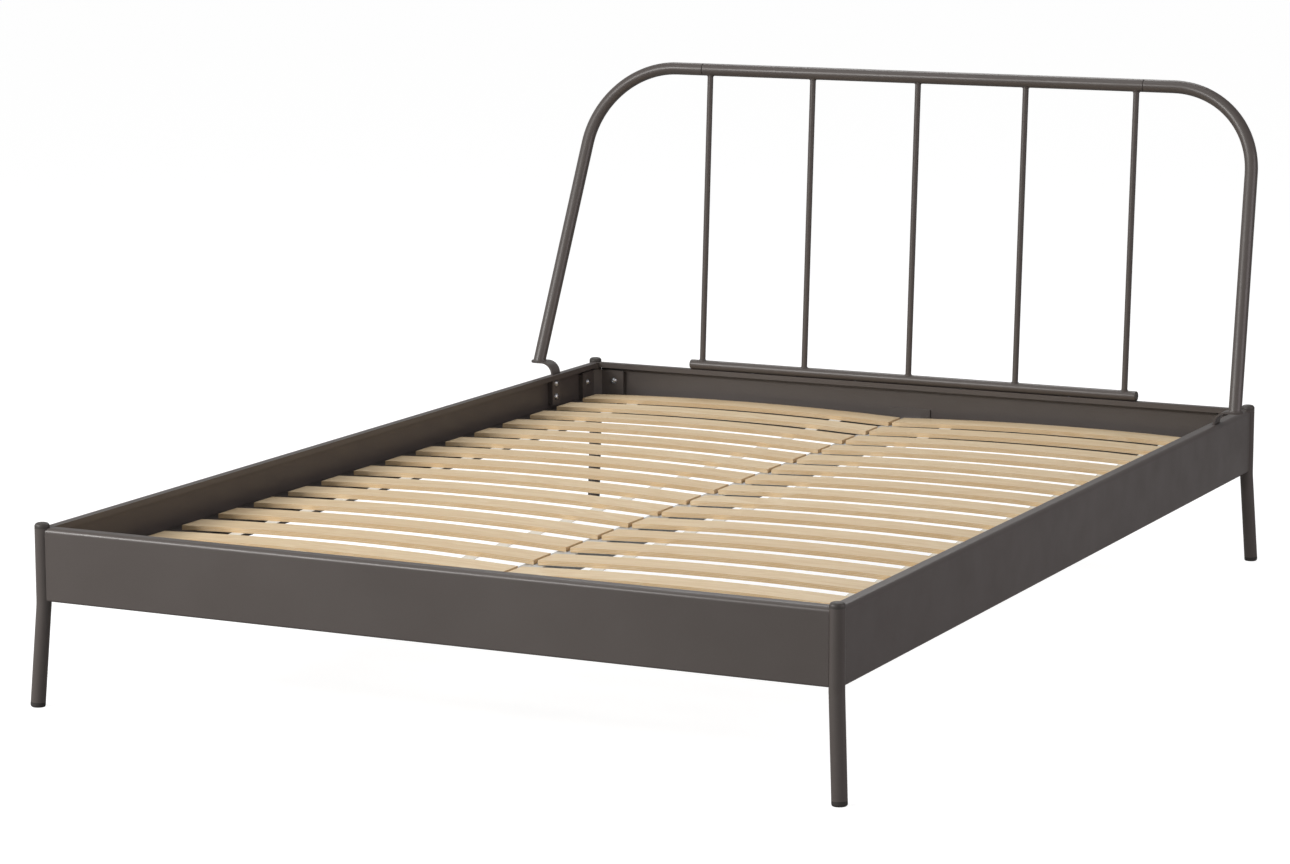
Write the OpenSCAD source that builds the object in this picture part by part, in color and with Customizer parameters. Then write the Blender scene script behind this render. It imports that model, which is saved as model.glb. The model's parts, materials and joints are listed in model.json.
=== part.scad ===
// Metal bed frame for a double mattress, put together from flat-packed parts.
// X runs across the bed, Y from the foot to the head and Z up. The origin is on the floor,
// midway between the four legs. All sizes are in millimetres.

/* [Mattress] */
// Width of the mattress that the frame takes
mattress_w = 1400; // [1000:10:1800]
// Length of the mattress
mattress_l = 2000; // [1800:10:2400]
// Gap between the mattress and the edge of each side rail
side_gap = 4; // [2:1:20]
// Gap between the mattress and the edge of each end panel
end_gap = 6; // [2:1:20]

/* [Rails and panels] */
// Height of the rails' lower edge above the floor
rail_bottom = 180; // [140:5:300]
// Height of a rail between its lower and its upper edge
rail_h = 124; // [118:1:170]
// Width of a rail's upper and lower flange
flange_w = 22; // [20:1:32]
// Thickness of the rails' sheet
sheet_t = 2; // [1.5:0.5:3]
// Depth of the lip at the inner edge of each flange
lip_h = 10; // [6:1:14]
// Outer radius of the rails' rounded upper edge
shoulder_r = 8; // [4:1:9]
// Outer radius of the rails' lower edge
hem_r = 4; // [3.5:0.5:8]

/* [Legs] */
// Outer diameter of the leg tubes
leg_d = 25.4; // [22:0.2:32]
// Wall of the leg tubes
leg_wall = 1.5; // [1:0.25:2.5]
// How far the rails' outer faces stand outside the legs' axes
leg_inset = 8; // [6:0.5:9]
// Angle of the splayed part of a leg
leg_splay = 4.85; // [0.5:0.05:8]
// Radius of the bend in a leg, at the tube's axis
leg_bend_r = 120; // [60:5:200]
// Height of the leg caps above the rails
cap_rise = 8; // [4:1:20]
// Height of the dome of a leg cap
cap_h = 9; // [6:1:14]
// Length of glide that shows below a leg tube
glide_show = 8; // [5:1:20]

/* [Headboard] */
// Height of the headboard above the floor
headboard_h = 941; // [750:1:1200]
// Outer diameter of the arch and the top bar
arch_d = 25.4; // [22:0.2:30]
// Wall of the arch and the top bar
arch_wall = 1.5; // [1:0.25:2.5]
// Radius of the arch's bends, at the tube's axis
arch_bend_r = 180; // [100:5:260]
// Angle at which the arch leans back
arch_lean = 20.4; // [5:0.1:25]
// Angle at which each upright leans in towards the middle
upright_taper = 3.75; // [0:0.05:8]
// Distance of the uprights' lower ends outside the side rails
arch_standoff = 25.6; // [20:0.1:40]
// Distance of the uprights' lower ends from the head legs
arch_from_legs = 191.5; // [120:0.5:260]
// Straight length of arch between a bend and the top bar
arch_tail = 61.2; // [58:0.1:120]
// Gap between the top bar's ends and the arch
seam_gap = 1; // [0.4:0.1:2]
// Diameter of the spindles
spindle_d = 12; // [8:0.5:16]
// Wall of the spindles
spindle_wall = 1.2; // [0.8:0.1:2]
// Distance from the outer spindles to the ends of the top bar
spindle_end_gap = 16; // [10:1:24]
// Diameter of the lower bar
lower_bar_d = 20; // [16:0.5:24]
// Wall of the lower bar
lower_bar_wall = 1.5; // [1:0.25:2]
// Length of lower bar past the outer spindles
lower_bar_end = 24; // [14:1:60]

/* [Hook brackets] */
// Thickness of a hook bracket
hook_t = 4; // [3:0.5:6]
// Width of a hook bracket
hook_w = 34; // [28:1:50]
// Outer radius of a hook bracket's bend
hook_r = 26; // [16:1:34]

/* [Slats] */
// Number of slat rows
slat_count = 17; // [10:1:18]
// Width of a slat
slat_w = 63; // [40:1:80]
// Thickness of a slat
slat_t = 8; // [6:0.5:12]
// Rise of a slat's middle above its ends
slat_crown = 8; // [3:0.5:20]
// Depth from the rails' upper edge to the ledges that the slats lie on
ledge_drop = 72; // [68:1:84]
// Gap between a slat's outer end and the side rail's edge
slat_side_gap = 6; // [3:1:14]
// Gap between the left and the right slat of a row
slat_split = 8; // [4:1:16]
// Gap between the end rows and the end panels' edges
slat_end_gap = 22.5; // [5:0.5:60]
// Width of a slat ribbon
ribbon_w = 25; // [15:1:40]
// Thickness of a slat ribbon
ribbon_t = 1; // [0.8:0.1:2]
// Distance of the ribbons from a slat's ends
ribbon_inset = 116; // [60:1:200]

/* [Mid-beam and ledges] */
// Width of a slat ledge
ledge_w = 60; // [50:1:80]
// Thickness of the ledges' sheet
ledge_t = 2; // [1.5:0.5:3]
// Width of the mid-beam
beam_w = 40; // [34:1:60]
// Height of the mid-beam
beam_h = 30; // [24:1:34]
// Wall of the mid-beam
beam_t = 1.5; // [1:0.25:2.5]
// Length of the splice in the middle of the mid-beam
splice_l = 200; // [140:10:400]

/* [Fasteners] */
// Diameter of the frame bolts
bolt_d = 8; // [6:1:10]
// Diameter of the headboard screws
screw_d = 6; // [5:0.5:7]
// Diameter of the mid-beam screws
beam_screw_d = 5; // [4:0.5:6]

/* [Hidden] */
$fn = 64;

// Clearances
bolt_clearance = 0.5;      // around a bolt or screw in its hole
thread_clearance = 0.1;    // around a bolt in the thread that it screws into
tube_clearance = 0.1;      // between a tube and what is pushed into it
leg_clearance = 0.4;       // between a leg and the rails' ends
mitre_clearance = 0.3;     // between the flanges of two rails at a corner
beam_clearance = 0.5;      // beside and past the ends of the mid-beam
splice_clearance = 0.3;    // around the splice in the mid-beam
slot_clearance = 1;        // around a hook bracket in its slot
past = 1;                  // how far a cutting shape runs past what it cuts

// Rails
rail_top = rail_bottom + rail_h;
rail_mid = rail_bottom + rail_h / 2;
rail_x = mattress_w / 2 + side_gap + flange_w;    // outer face of a side rail
rail_y = mattress_l / 2 + end_gap + flange_w;     // outer face of an end panel
leg_x = rail_x - leg_inset;
leg_y = rail_y - leg_inset;

// Legs
leg_r = leg_d / 2;
leg_bore_r = leg_r - leg_wall;
leg_top = rail_top + cap_rise - cap_h;
leg_bend_in = leg_bend_r * (1 - cos(leg_splay));
leg_bend_drop = leg_bend_r * sin(leg_splay);
leg_axis_l = (rail_bottom - leg_bend_drop) / cos(leg_splay);    // splayed axis, bend to floor
cap_edge_r = min(6, cap_h - 1);
cap_plug_l = 18;
glide_plug_l = 26;
glide_edge_r = 4.5;
glide_sink = 1;            // stock below the floor line that is cut flat
bend_swell = 0.05;         // growth of a tube's wall, inwards and outwards, in a bend
bend_overlap = 1;          // reach of a straight tube into a bend
plug_groove = 0.8;
plug_rib_l = 3;
plug_edge_r = 3;           // rounded edge of the lower bar's end plugs

// Corner joints
plate_t = 7.5;             // threaded plates inside the rails
bracket_t = 3;
bracket_h = 92;
bracket_wing_l = 68;
corner_bolt_from_leg = 45;
corner_bolt_pitch = 48;
corner_plate_w = 44;
corner_plate_h = 84;
plate_face = leg_inset - sheet_t - plate_t;       // from a leg's axis, towards the outside
bolt_r = bolt_d / 2;
bolt_short = 0.5;          // from a bolt's end to the outer face of its threaded plate
screw_reach = 6;           // of a mid-beam screw past the sheets that it holds
joint_screw_reach = 2;     // of a joint screw past its sleeve

// Arch
arch_r = arch_d / 2;
arch_base_z = rail_top + hook_r;
arch_top_z = headboard_h - arch_r;
arch_base_x = rail_x + arch_standoff;
arch_base_y = leg_y - arch_from_legs;
arch_top_y = arch_base_y + (arch_top_z - arch_base_z) * tan(arch_lean);
arch_base_s = -(arch_top_z - arch_base_z) / cos(arch_lean);     // along the arch's plane
arch_bend_s = -arch_bend_r * (1 - sin(upright_taper));
upright_l = (arch_bend_s - arch_base_s) / cos(upright_taper);
upright_spread = (arch_bend_s - arch_base_s) * tan(upright_taper);
arch_bend_x = arch_base_x - upright_spread - arch_bend_r * cos(upright_taper);
seam_x = arch_bend_x - arch_tail;
seam_bevel = 0.5;          // chamfer on the tube ends beside the seam
sleeve_l = 110;
sleeve_wall = 1.5;
sleeve_r = arch_r - arch_wall - tube_clearance;
joint_screw_from_seam = 36;
screw_r = screw_d / 2;

// Spindles and lower bar
spindle_r = spindle_d / 2;
spindle_count = 5;
spindle_pitch = 2 * (seam_x - spindle_end_gap) / (spindle_count - 1);
lower_bar_r = lower_bar_d / 2;
lower_bar_y = rail_y - (shoulder_r + flange_w - sheet_t) / 2;    // middle of the flat underside
lower_bar_z = rail_top + lower_bar_r;
lower_bar_x = seam_x - spindle_end_gap + lower_bar_end;
lower_bar_screw_x = [for (i = [0 : spindle_count - 2]) (i - (spindle_count - 2) / 2) * spindle_pitch];
spindle_lean = atan((arch_top_y - lower_bar_y) / (arch_top_z - lower_bar_z));
spindle_l = (arch_top_z - lower_bar_z) / cos(spindle_lean);

// Hook brackets
hook_x = rail_x - sheet_t - plate_t - hook_t;     // inner face of the upright part
hook_end_r = hook_w / 2;
hook_depth = 64;           // reach of a hook bracket below the rails' upper edge
hook_bottom = rail_top - hook_depth;
hook_bolt_z = [rail_top - 48, rail_top - 20];
hook_plate_bottom = hook_bottom + 2;
hook_plate_top = rail_top - shoulder_r - 1;

// Slats
ledge_z = rail_top - ledge_drop;
slat_in = slat_split / 2;
slat_out = rail_x - flange_w - slat_side_gap;
slat_l = slat_out - slat_in;
slat_mid = (slat_in + slat_out) / 2;
slat_r = (pow(slat_l / 2, 2) + pow(slat_crown, 2)) / (2 * slat_crown);
slat_row_y = rail_y - flange_w - slat_end_gap - slat_w / 2;
slat_pitch = 2 * slat_row_y / (slat_count - 1);

// Ledges
ledge_wall_h = 30;
ledge_lip_h = 10;
ledge_end_gap = 30;        // from a ledge's end to a leg's axis
ledge_full_gap = 85;       // from its full-width part to a leg's axis
ledge_notch = 17;          // width cut away beside the corner brackets

// Mid-beam
beam_z = ledge_z - beam_h;
hanger_t = 3;
hanger_w = 90;
hanger_shelf_l = 45;
hanger_cheek_h = 18;
hanger_back_h = 54;
beam_end_y = rail_y - sheet_t - hanger_t - beam_clearance;
splice_wall = 2;
splice_screw_y = [splice_l / 5, splice_l * 2 / 5];
hanger_screw_y = rail_y - sheet_t - hanger_shelf_l * 2 / 3;
beam_screw_r = beam_screw_d / 2;

CORNERS = [["foot_left", -1, -1], ["foot_right", 1, -1], ["head_left", -1, 1], ["head_right", 1, 1]];
SIDES = [["left", -1], ["right", 1]];
ENDS = [["foot", -1], ["head", 1]];

function two_digits(n) = str(n < 10 ? "0" : "", n);

// ---------- Shared shapes ----------

// Mirrors what is drawn for the right or the head side to the side that is asked for
module to_side(sx) {
    mirror([sx < 0 ? 1 : 0, 0, 0]) children();
}

module to_end(sy) {
    mirror([0, sy < 0 ? 1 : 0, 0]) children();
}

// Stands a shape drawn around a leg's axis, with +X and +Y to the outside, at a corner
module to_corner(sx, sy) {
    to_side(sx) to_end(sy) translate([leg_x, leg_y, 0]) children();
}

// Extrudes an outline drawn in X and Z along Y
module along_y(y0, y1) {
    translate([0, y1, 0]) rotate([90, 0, 0]) linear_extrude(y1 - y0) children();
}

// Turns a shape drawn upwards from the XY plane to point along X or along Y
module to_x() {
    rotate([0, 90, 0]) children();
}

module to_y() {
    rotate([-90, 0, 0]) children();
}

// Tube that stands on the XY plane
module straight_tube(r, wall, l) {
    difference() {
        cylinder(r = r, h = l);
        translate([0, 0, -past]) cylinder(r = r - wall, h = l + 2 * past);
    }
}

// Tube bent around the origin, from the X axis towards the Y axis. Bending swells its wall a
// little, and the straight tubes beside it reach into the swollen wall.
module bent_tube(r, wall, bend_r, angle) {
    rotate_extrude(angle = angle) translate([bend_r, 0]) difference() {
        circle(r + bend_swell);
        circle(r - wall - bend_swell);
    }
}

// Button head screw with a hexagon socket. Its shank points up, and its head is below the XY plane.
module button_screw(r, l) {
    head_r = 1.75 * r;
    head_h = 1.1 * r;
    ball_r = (head_r * head_r + head_h * head_h) / (2 * head_h);
    difference() {
        union() {
            cylinder(r = r, h = l);
            intersection() {
                translate([0, 0, ball_r - head_h]) sphere(ball_r);
                translate([0, 0, -head_h]) cylinder(r = head_r, h = head_h);
            }
        }
        translate([0, 0, -head_h - past]) cylinder(r = 0.72 * r, h = 0.6 * head_h + past, $fn = 6);
    }
}

// Ribbed shank that grips the inside of a tube, from the XY plane downwards
module plug_shank(bore_r, l) {
    rib_pitch = 2 * plug_rib_l;
    difference() {
        translate([0, 0, -l]) cylinder(r = bore_r - tube_clearance, h = l);
        for (z = [rib_pitch : rib_pitch : l - plug_rib_l]) {
            translate([0, 0, -z]) difference() {
                cylinder(r = bore_r + past, h = plug_rib_l);
                translate([0, 0, -past])
                    cylinder(r = bore_r - tube_clearance - plug_groove, h = plug_rib_l + 2 * past);
            }
        }
    }
}

// ---------- Rails and panels ----------

// Block with the two rounded outer corners of a rail, its outer face at X = -inset
module rail_block(inner_x, inset, top_r, bottom_r) {
    bottom = rail_bottom + inset;
    top = rail_top - inset;
    difference() {
        translate([inner_x, bottom]) square([-inset - inner_x, top - bottom]);
        translate([-inset - top_r, top - top_r]) difference() {
            square(top_r + past);
            circle(top_r);
        }
        translate([-inset - bottom_r, bottom + bottom_r]) mirror([0, 1]) difference() {
            square(bottom_r + past);
            circle(bottom_r);
        }
    }
}

// Section of a rail, with its outer face at X = 0 and its open side towards negative X
module rail_outline() {
    difference() {
        rail_block(-flange_w, 0, shoulder_r, hem_r);
        rail_block(-flange_w + sheet_t, sheet_t, shoulder_r - sheet_t, hem_r - sheet_t);
        translate([-flange_w - past, rail_bottom + lip_h])
            square([sheet_t + 2 * past, rail_h - 2 * lip_h]);
    }
}

// What is cut from a rail at a leg: room for the tube, and the 45 degree mitre of the flanges.
// turn is the direction of the rail across the corner.
module corner_cut(turn) {
    side = 6 * flange_w;
    cylinder(r = leg_r + leg_clearance, h = rail_top + past);
    rotate([0, 0, turn]) translate([-mitre_clearance / 2, -side / 2, 0])
        cube([side, side, rail_top + past]);
}

// Slot in a side rail's upper flange for its hook bracket
module hook_slot() {
    translate([hook_x - slot_clearance, arch_base_y - hook_w / 2 - slot_clearance, rail_top - lip_h])
        cube([hook_t + 2 * slot_clearance, hook_w + 2 * slot_clearance, lip_h + past]);
}

module side_rail() {
    color("#5a5653") difference() {
        translate([rail_x, 0, 0]) along_y(-rail_y, rail_y) rail_outline();
        for (sy = [-1, 1]) to_corner(1, sy) corner_cut(135);
        hook_slot();
    }
}

module end_panel() {
    color("#5a5653") difference() {
        translate([0, rail_y, 0]) rotate([0, 0, 90]) along_y(-rail_x, rail_x) rail_outline();
        for (sx = [-1, 1]) to_corner(sx, 1) corner_cut(-45);
    }
}

module foot_panel() {
    to_end(-1) end_panel();
}

// The head panel is the same pressing with holes for the lower bar's screws
module head_panel() {
    difference() {
        end_panel();
        for (x = lower_bar_screw_x) translate([x, lower_bar_y, rail_top - sheet_t - past])
            cylinder(r = screw_r + bolt_clearance, h = sheet_t + 2 * past);
    }
}

// ---------- Legs ----------

// Moves a shape to the splayed part of a leg, with the floor at the XY plane and the tube along Z
module on_splayed_axis() {
    rotate([0, 0, 45]) translate([leg_bend_in + leg_axis_l * sin(leg_splay), 0, 0])
        rotate([0, -leg_splay, 0]) children();
}

module leg(sx, sy) {
    color("#57524f") to_corner(sx, sy) {
        translate([0, 0, rail_bottom - bend_overlap])
            straight_tube(leg_r, leg_wall, leg_top - rail_bottom + bend_overlap);
        rotate([0, 0, 45]) translate([leg_bend_r, 0, rail_bottom]) rotate([90, 0, 0])
            rotate([0, 0, 180]) bent_tube(leg_r, leg_wall, leg_bend_r, leg_splay);
        on_splayed_axis() translate([0, 0, glide_show])
            straight_tube(leg_r, leg_wall, leg_axis_l - glide_show + bend_overlap);
    }
}

// Round cap with a domed edge and a ribbed shank in the tube
module leg_cap() {
    translate([0, 0, leg_top]) {
        plug_shank(leg_bore_r, cap_plug_l);
        cylinder(r = leg_r, h = cap_h - cap_edge_r);
        cylinder(r = leg_r - cap_edge_r, h = cap_h);
        translate([0, 0, cap_h - cap_edge_r]) rotate_extrude()
            intersection() {
                translate([leg_r - cap_edge_r, 0]) circle(cap_edge_r);
                square([leg_r, cap_edge_r]);
            }
    }
}

module leg_caps() {
    color("#3a3836") for (c = CORNERS) to_corner(c[1], c[2]) leg_cap();
}

// Glide with a rounded lower edge, cut flat where it stands on the floor
module leg_glide() {
    difference() {
        on_splayed_axis() {
            translate([0, 0, glide_show]) mirror([0, 0, 1]) plug_shank(leg_bore_r, glide_plug_l);
            rotate_extrude() glide_outline();
        }
        translate([-leg_d, -leg_d, -leg_d]) cube([4 * leg_d, 4 * leg_d, leg_d]);
    }
}

module glide_outline() {
    difference() {
        translate([0, -glide_sink]) square([leg_r, glide_show + glide_sink]);
        translate([leg_r - glide_edge_r, glide_edge_r - glide_sink]) mirror([0, 1]) difference() {
            square(glide_edge_r + past);
            circle(glide_edge_r);
        }
    }
}

module leg_glides() {
    color("#2b2a29") for (c = CORNERS) to_corner(c[1], c[2]) leg_glide();
}

// ---------- Corner joints ----------

// Bent plate welded to a leg. One wing lies behind the end panel and one behind the side rail.
module corner_bracket(sx, sy) {
    outer = plate_face;
    inner = plate_face - bracket_t;
    near = -leg_r * sqrt(2);                    // X + Y on the web's face that touches the tube
    far = near - bracket_t * sqrt(2);
    color("#55514e") to_corner(sx, sy) difference() {
        translate([0, 0, rail_mid - bracket_h / 2]) linear_extrude(bracket_h) polygon([
            [-bracket_wing_l, outer], [near - outer, outer], [outer, near - outer],
            [outer, -bracket_wing_l], [inner, -bracket_wing_l], [inner, far - inner],
            [far - inner, inner], [-bracket_wing_l, inner]
        ]);
        corner_bolt_places() translate([0, 0, -bracket_t - past])
            cylinder(r = bolt_r + bolt_clearance, h = bracket_t + 2 * past);
    }
}

// Puts a shape at each bolt of a corner, on the threaded plates' faces and pointing outwards
module corner_bolt_places() {
    for (dz = [-1, 1]) {
        z = rail_mid + dz * corner_bolt_pitch / 2;
        translate([-corner_bolt_from_leg, plate_face, z]) to_y() children();
        translate([plate_face, -corner_bolt_from_leg, z]) to_x() children();
    }
}

// Threaded plate welded inside a rail, drawn at its middle with its face on the XY plane
module nut_plate(w, h) {
    translate([-w / 2, -h / 2, 0]) cube([w, h, plate_t]);
}

module corner_nut_plates() {
    color("#55514e") for (c = CORNERS) to_corner(c[1], c[2]) difference() {
        union() {
            translate([-corner_bolt_from_leg, plate_face, rail_mid]) to_y()
                nut_plate(corner_plate_w, corner_plate_h);
            translate([plate_face, -corner_bolt_from_leg, rail_mid]) to_x()
                nut_plate(corner_plate_h, corner_plate_w);
        }
        corner_bolt_places() translate([0, 0, -past])
            cylinder(r = bolt_r + thread_clearance, h = plate_t + past);
    }
}

module corner_bolts() {
    color("#b4b6b8") for (c = CORNERS) to_corner(c[1], c[2]) corner_bolt_places()
        translate([0, 0, -bracket_t]) button_screw(bolt_r, bracket_t + plate_t - bolt_short);
}

// ---------- Headboard ----------

// Moves a shape from the arch's own plane to its place. There X runs across the bed, and Z runs
// up the plane with 0 at the top bar's axis.
module on_arch_plane() {
    translate([0, arch_top_y, arch_top_z]) rotate([-arch_lean, 0, 0]) children();
}

// Right arch tube in its plane: tail, bend and upright
module arch_tube() {
    translate([seam_x + seam_gap / 2, 0, 0]) to_x()
        straight_tube(arch_r, arch_wall, arch_tail - seam_gap / 2 + bend_overlap);
    translate([arch_bend_x, 0, -arch_bend_r]) rotate([90, 0, 0]) rotate([0, 0, upright_taper])
        bent_tube(arch_r, arch_wall, arch_bend_r, 90 - upright_taper);
    translate([arch_bend_x + arch_bend_r * cos(upright_taper), 0, arch_bend_s])
        rotate([0, 180 - upright_taper, 0]) translate([0, 0, -bend_overlap])
            straight_tube(arch_r, arch_wall, upright_l + bend_overlap + arch_d);
}

module headboard_arch(sx) {
    color("#625d5a") to_side(sx) difference() {
        on_arch_plane() difference() {
            arch_tube();
            joint_screw_places() translate([0, 0, -past])
                cylinder(r = screw_r + bolt_clearance, h = arch_r);
            seam_cut();
        }
        translate([arch_base_x - 2 * arch_d, arch_base_y - 2 * arch_d, arch_base_z - 2 * arch_d])
            cube([4 * arch_d, 4 * arch_d, 2 * arch_d]);
    }
}

// Puts a shape behind each screw of the right joint, pointing forwards through both tubes
module joint_screw_places() {
    for (dx = [-1, 1]) {
        translate([seam_x + dx * joint_screw_from_seam, arch_r, 0]) rotate([90, 0, 0]) children();
    }
}

// What the chamfers of the right joint's two tube ends take away together
module seam_cut() {
    root = arch_r - seam_bevel;
    rim = arch_r + past;
    half_w = seam_gap / 2 + rim - root;
    translate([seam_x, 0, 0]) to_x() rotate_extrude()
        polygon([[root, -seam_gap / 2], [rim, -half_w], [rim, half_w], [root, seam_gap / 2]]);
}

module headboard_top_bar() {
    half_l = seam_x - seam_gap / 2;
    color("#625d5a") on_arch_plane() difference() {
        translate([-half_l, 0, 0]) to_x() cylinder(r = arch_r, h = 2 * half_l);
        translate([-half_l - past, 0, 0]) to_x()
            cylinder(r = arch_r - arch_wall, h = 2 * (half_l + past));
        for (s = SIDES) to_side(s[1]) {
            joint_screw_places() translate([0, 0, -past])
                cylinder(r = screw_r + bolt_clearance, h = arch_r);
            seam_cut();
        }
    }
}

module headboard_sleeves() {
    color("#55514e") on_arch_plane() for (s = SIDES) to_side(s[1]) difference() {
        translate([seam_x - sleeve_l / 2, 0, 0]) to_x() cylinder(r = sleeve_r, h = sleeve_l);
        translate([seam_x - sleeve_l / 2 - past, 0, 0]) to_x()
            cylinder(r = sleeve_r - sleeve_wall, h = sleeve_l + 2 * past);
        joint_screw_places() cylinder(r = screw_r + thread_clearance, h = arch_r);
    }
}

module headboard_joint_screws() {
    color("#4a4745") on_arch_plane() for (s = SIDES) to_side(s[1]) joint_screw_places()
        button_screw(screw_r, arch_wall + tube_clearance + sleeve_wall + joint_screw_reach);
}

// Spindle between the lower bar and the top bar, shaped to both where it is welded on
module headboard_spindle(i) {
    x = (i - (spindle_count + 1) / 2) * spindle_pitch;
    color("#625d5a") difference() {
        translate([x, lower_bar_y, lower_bar_z]) rotate([-spindle_lean, 0, 0]) difference() {
            cylinder(r = spindle_r, h = spindle_l);
            translate([0, 0, -past]) cylinder(r = spindle_r - spindle_wall, h = spindle_l + 2 * past);
        }
        translate([x - spindle_d, arch_top_y, arch_top_z]) to_x()
            cylinder(r = arch_r, h = 2 * spindle_d);
        translate([x - spindle_d, lower_bar_y, lower_bar_z]) to_x()
            cylinder(r = lower_bar_r, h = 2 * spindle_d);
    }
}

module headboard_lower_bar() {
    color("#625d5a") difference() {
        translate([-lower_bar_x, lower_bar_y, lower_bar_z]) to_x()
            cylinder(r = lower_bar_r, h = 2 * lower_bar_x);
        translate([-lower_bar_x - past, lower_bar_y, lower_bar_z]) to_x()
            cylinder(r = lower_bar_r - lower_bar_wall, h = 2 * (lower_bar_x + past));
        for (x = lower_bar_screw_x) translate([x, lower_bar_y, rail_top - past])
            cylinder(r = screw_r + thread_clearance, h = lower_bar_r);
    }
}

module lower_bar_plugs() {
    color("#3a3836") for (s = SIDES) to_side(s[1])
        translate([lower_bar_x, lower_bar_y, lower_bar_z]) to_x() {
            plug_shank(lower_bar_r - lower_bar_wall, cap_plug_l);
            rotate_extrude() {
                square([lower_bar_r - plug_edge_r, plug_edge_r]);
                intersection() {
                    translate([lower_bar_r - plug_edge_r, 0]) circle(plug_edge_r);
                    square([lower_bar_r, plug_edge_r]);
                }
            }
        }
}

module lower_bar_screws() {
    color("#b4b6b8") for (x = lower_bar_screw_x)
        translate([x, lower_bar_y, rail_top - sheet_t]) button_screw(screw_r, 3 * screw_d);
}

// ---------- Hook brackets ----------

// Side view of the right hook bracket: flat under the arch, bent over and down into the rail
module hook_outline() {
    bend_x = hook_x + hook_r;
    translate([bend_x, rail_top]) intersection() {
        difference() {
            circle(hook_r);
            circle(hook_r - hook_t);
        }
        translate([-hook_r - past, 0]) square(hook_r + past);
    }
    translate([hook_x, hook_bottom]) square([hook_t, rail_top - hook_bottom]);
    translate([bend_x, arch_base_z - hook_t])
        square([arch_base_x + hook_end_r - bend_x, hook_t]);
}

module headboard_hook(sx) {
    color("#57524f") to_side(sx) difference() {
        intersection() {
            along_y(arch_base_y - hook_w / 2, arch_base_y + hook_w / 2) hook_outline();
            translate([0, 0, hook_bottom - past]) linear_extrude(arch_base_z) {
                translate([hook_x - past, arch_base_y - hook_w / 2])
                    square([arch_base_x - hook_x + past, hook_w]);
                translate([arch_base_x, arch_base_y]) circle(hook_end_r);
            }
        }
        hook_bolt_places() translate([0, 0, -hook_t - past])
            cylinder(r = bolt_r + bolt_clearance, h = hook_t + 2 * past);
    }
}

// Puts a shape at each bolt of the right hook bracket, on the threaded plate and pointing outwards
module hook_bolt_places() {
    for (z = hook_bolt_z) translate([hook_x + hook_t, arch_base_y, z]) to_x() children();
}

module hook_nut_plates() {
    color("#55514e") for (s = SIDES) to_side(s[1]) difference() {
        translate([hook_x + hook_t, arch_base_y - hook_w / 2, hook_plate_bottom])
            cube([plate_t, hook_w, hook_plate_top - hook_plate_bottom]);
        hook_bolt_places() translate([0, 0, -past])
            cylinder(r = bolt_r + thread_clearance, h = plate_t + past);
    }
}

module hook_bolts() {
    color("#b4b6b8") for (s = SIDES) to_side(s[1]) hook_bolt_places()
        translate([0, 0, -hook_t]) button_screw(bolt_r, hook_t + plate_t - bolt_short);
}

// ---------- Slats, ledges and mid-beam ----------

// Section of a ledge: a wall against the rail, a shelf and a lip turned down at its edge
module ledge_outline() {
    wall_x = rail_x - sheet_t;
    translate([wall_x - ledge_w, ledge_z - ledge_t]) square([ledge_w, ledge_t]);
    translate([wall_x - ledge_w, ledge_z - ledge_lip_h]) square([ledge_t, ledge_lip_h]);
    translate([wall_x - ledge_t, ledge_z - ledge_wall_h]) square([ledge_t, ledge_wall_h]);
}

module slat_ledge(sx) {
    end_y = leg_y - ledge_end_gap;
    full_y = leg_y - ledge_full_gap;
    color("#55514e") to_side(sx) difference() {
        along_y(-end_y, end_y) ledge_outline();
        for (s = ENDS) to_end(s[1])
            translate([rail_x - sheet_t - ledge_notch, full_y, ledge_z - ledge_wall_h - past])
                cube([ledge_notch + past, end_y - full_y + past, ledge_wall_h + 2 * past]);
    }
}

// Band of a slat's curve, between two heights over its lower face and two distances along it
module slat_band(low, high, x0, x1) {
    intersection() {
        translate([slat_mid, ledge_z + slat_crown - slat_r]) difference() {
            circle(slat_r + high, $fn = 1800);
            circle(slat_r + low, $fn = 1800);
        }
        translate([x0, ledge_z - slat_t]) square([x1 - x0, 3 * slat_t + slat_crown]);
    }
}

module slat_row(i) {
    y = -slat_row_y + (i - 1) * slat_pitch;
    color("#d9bd8c") for (s = SIDES) to_side(s[1])
        along_y(y - slat_w / 2, y + slat_w / 2) slat_band(0, slat_t, slat_in, slat_out);
}

module slat_ribbons() {
    end_y = slat_row_y + slat_w / 2;
    color("#e8e4da") for (s = SIDES, x = [slat_in + ribbon_inset, slat_out - ribbon_inset])
        to_side(s[1]) along_y(-end_y, end_y)
            slat_band(-ribbon_t, 0, x - ribbon_w / 2, x + ribbon_w / 2);
}

// Half of the mid-beam, from the middle of the bed to the head hanger
module mid_beam_half(sy) {
    bore_w = beam_w - 2 * beam_t;
    bore_h = beam_h - 2 * beam_t;
    color("#9a9c9d") to_end(sy) difference() {
        translate([-beam_w / 2, 0, beam_z]) cube([beam_w, beam_end_y, beam_h]);
        translate([-bore_w / 2, -past, beam_z + beam_t])
            cube([bore_w, beam_end_y + 2 * past, bore_h]);
        beam_screw_places() translate([0, 0, -past])
            cylinder(r = beam_screw_r + thread_clearance, h = beam_t + 2 * past);
    }
}

// Puts a shape at each screw of the head half, on the beam's lower face and pointing up
module beam_screw_places() {
    for (y = splice_screw_y) translate([0, y, beam_z]) children();
    translate([0, hanger_screw_y, beam_z]) children();
}

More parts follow.
